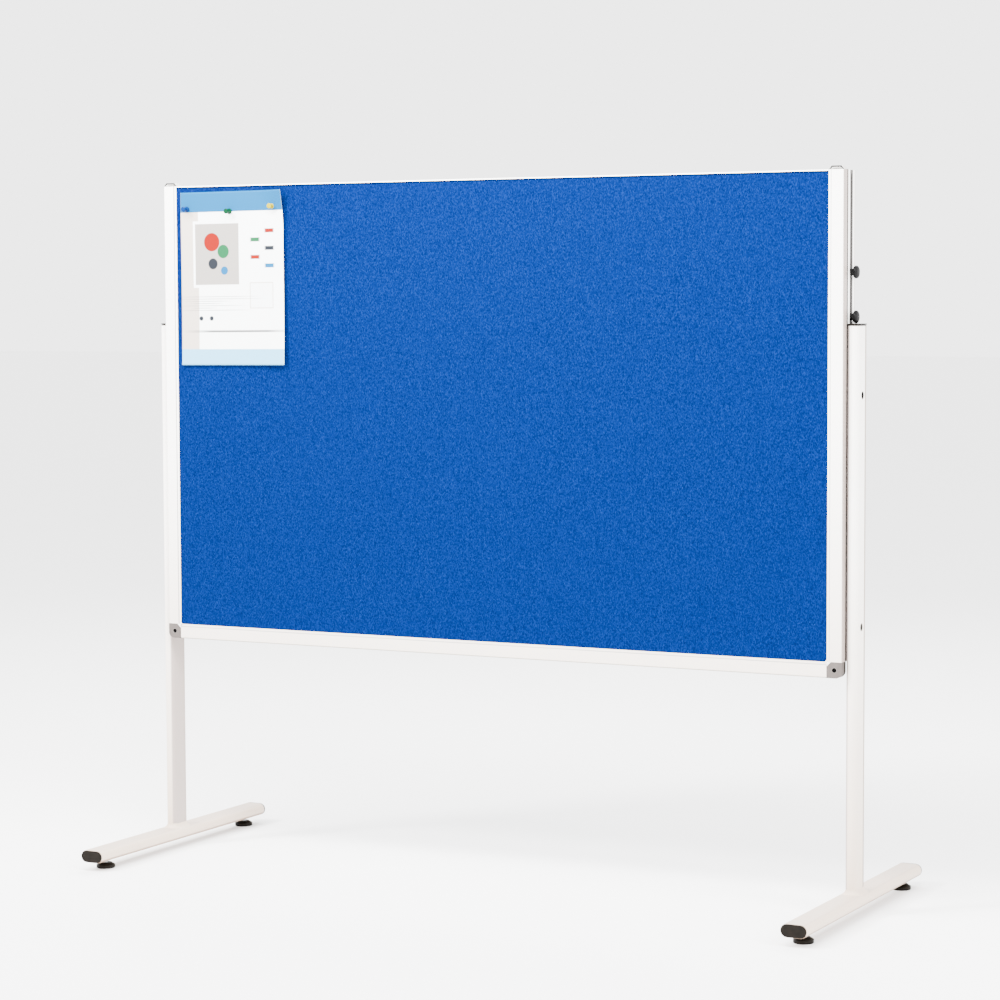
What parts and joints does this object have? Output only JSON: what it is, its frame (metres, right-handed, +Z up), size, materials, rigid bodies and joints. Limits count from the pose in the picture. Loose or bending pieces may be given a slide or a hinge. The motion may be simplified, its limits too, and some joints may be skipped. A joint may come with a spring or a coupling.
{
  "type": "mobile pinboard",
  "caption": "Framed felt pinboard held upright between two T-shaped tube legs with levelling glides; the board slides up and down in slotted side channels and carries a pinned sheet.",
  "frame": {"origin": "on the floor, below the middle of the board and midway between the ends of the feet", "axes": "+X along the board to the right of someone facing its felt, +Y to the back, +Z up"},
  "size_m": [1.314, 0.516, 1.1658],
  "materials": {
    "white_powder_coat": "satin white powder coat on steel tube",
    "white_frame_coat": "satin white powder coat on aluminium extrusion",
    "grey_plastic": "moulded, fine texture",
    "black_plastic": "moulded, satin",
    "cap_plastic": "moulded, satin",
    "zinc_steel": "zinc plated",
    "dark_steel": "black oxide",
    "softboard": "raw fibre board",
    "blue_felt": "needled felt",
    "paper": "printed coated paper",
    "blue_plastic": "gloss",
    "green_plastic": "gloss",
    "yellow_plastic": "gloss"
  },
  "bodies": {
    "stand": {"left_foot_tube": "white_powder_coat", "left_post": "white_powder_coat", "left_post_cap": "black_plastic", "left_front_foot_plug": "black_plastic", "left_front_insert": "zinc_steel", "left_rear_foot_plug": "black_plastic", "left_rear_insert": "zinc_steel", "left_lower_clamp_screw": "zinc_steel", "left_lower_clamp_nut": "zinc_steel", "left_upper_clamp_screw": "zinc_steel", "left_upper_clamp_nut": "zinc_steel", "right_foot_tube": "white_powder_coat", "right_post": "white_powder_coat", "right_post_cap": "black_plastic", "right_front_foot_plug": "black_plastic", "right_front_insert": "zinc_steel", "right_rear_foot_plug": "black_plastic", "right_rear_insert": "zinc_steel", "right_lower_clamp_screw": "zinc_steel", "right_lower_clamp_nut": "zinc_steel", "right_upper_clamp_screw": "zinc_steel", "right_upper_clamp_nut": "zinc_steel"},
    "board": {"left_side_rail": "white_frame_coat", "left_channel": "white_frame_coat", "left_bottom_corner": "grey_plastic", "left_corner_screw": "dark_steel", "left_top_cap": "cap_plastic", "right_side_rail": "white_frame_coat", "right_channel": "white_frame_coat", "right_bottom_corner": "grey_plastic", "right_corner_screw": "dark_steel", "right_top_cap": "cap_plastic", "bottom_rail": "white_frame_coat", "top_trim": "white_frame_coat", "core_board": "softboard", "front_felt": "blue_felt", "rear_felt": "blue_felt", "notice_sheet": "paper"},
    "left_lower_slider": {"left_lower_knob_nut": "zinc_steel"},
    "left_lower_knob": {"left_lower_knob": "black_plastic"},
    "left_upper_slider": {"left_upper_knob_nut": "zinc_steel"},
    "left_upper_knob": {"left_upper_knob": "black_plastic"},
    "left_front_glide": {"left_front_glide_pad": "black_plastic", "left_front_glide_stud": "zinc_steel"},
    "left_rear_glide": {"left_rear_glide_pad": "black_plastic", "left_rear_glide_stud": "zinc_steel"},
    "right_lower_slider": {"right_lower_knob_nut": "zinc_steel"},
    "right_lower_knob": {"right_lower_knob": "black_plastic"},
    "right_upper_slider": {"right_upper_knob_nut": "zinc_steel"},
    "right_upper_knob": {"right_upper_knob": "black_plastic"},
    "right_front_glide": {"right_front_glide_pad": "black_plastic", "right_front_glide_stud": "zinc_steel"},
    "right_rear_glide": {"right_rear_glide_pad": "black_plastic", "right_rear_glide_stud": "zinc_steel"},
    "blue_pin": {"blue_pin_head": "blue_plastic", "blue_pin_needle": "zinc_steel"},
    "green_pin": {"green_pin_head": "green_plastic", "green_pin_needle": "zinc_steel"},
    "yellow_pin": {"yellow_pin_head": "yellow_plastic", "yellow_pin_needle": "zinc_steel"}
  },
  "joints": [
    {"name": "board_lift", "type": "slide", "parent": "stand", "child": "board", "axis": [0, 0, 1], "range_m": [0, 0.045]},
    {"name": "left_lower_knob_slide", "type": "slide", "parent": "board", "child": "left_lower_slider", "axis": [0, 0, 1], "range_m": [0, 0.048]},
    {"name": "left_lower_knob_turn", "type": "hinge", "parent": "left_lower_slider", "child": "left_lower_knob", "pos_m": [-0.625, 0, 0.9341], "axis": [-1, 0, 0], "continuous": true},
    {"name": "left_upper_knob_slide", "type": "slide", "parent": "board", "child": "left_upper_slider", "axis": [0, 0, 1], "range_m": [0, 0.145]},
    {"name": "left_upper_knob_turn", "type": "hinge", "parent": "left_upper_slider", "child": "left_upper_knob", "pos_m": [-0.625, 0, 1.0031], "axis": [-1, 0, 0], "continuous": true},
    {"name": "left_front_glide_height", "type": "slide", "parent": "stand", "child": "left_front_glide", "axis": [0, 0, -1], "range_m": [-0.003, 0.008]},
    {"name": "left_rear_glide_height", "type": "slide", "parent": "stand", "child": "left_rear_glide", "axis": [0, 0, -1], "range_m": [-0.003, 0.008]},
    {"name": "right_lower_knob_slide", "type": "slide", "parent": "board", "child": "right_lower_slider", "axis": [0, 0, 1], "range_m": [0, 0.048]},
    {"name": "right_lower_knob_turn", "type": "hinge", "parent": "right_lower_slider", "child": "right_lower_knob", "pos_m": [0.625, 0, 0.9341], "axis": [1, 0, 0], "continuous": true},
    {"name": "right_upper_knob_slide", "type": "slide", "parent": "board", "child": "right_upper_slider", "axis": [0, 0, 1], "range_m": [0, 0.145]},
    {"name": "right_upper_knob_turn", "type": "hinge", "parent": "right_upper_slider", "child": "right_upper_knob", "pos_m": [0.625, 0, 1.0031], "axis": [1, 0, 0], "continuous": true},
    {"name": "right_front_glide_height", "type": "slide", "parent": "stand", "child": "right_front_glide", "axis": [0, 0, -1], "range_m": [-0.003, 0.008]},
    {"name": "right_rear_glide_height", "type": "slide", "parent": "stand", "child": "right_rear_glide", "axis": [0, 0, -1], "range_m": [-0.003, 0.008]},
    {"name": "blue_pin_pull", "type": "slide", "parent": "board", "child": "blue_pin", "axis": [0, -1, 0], "range_m": [0, 0.0095]},
    {"name": "green_pin_pull", "type": "slide", "parent": "board", "child": "green_pin", "axis": [0, -1, 0], "range_m": [0, 0.0095]},
    {"name": "yellow_pin_pull", "type": "slide", "parent": "board", "child": "yellow_pin", "axis": [0, -1, 0], "range_m": [0, 0.0095]}
  ]
}
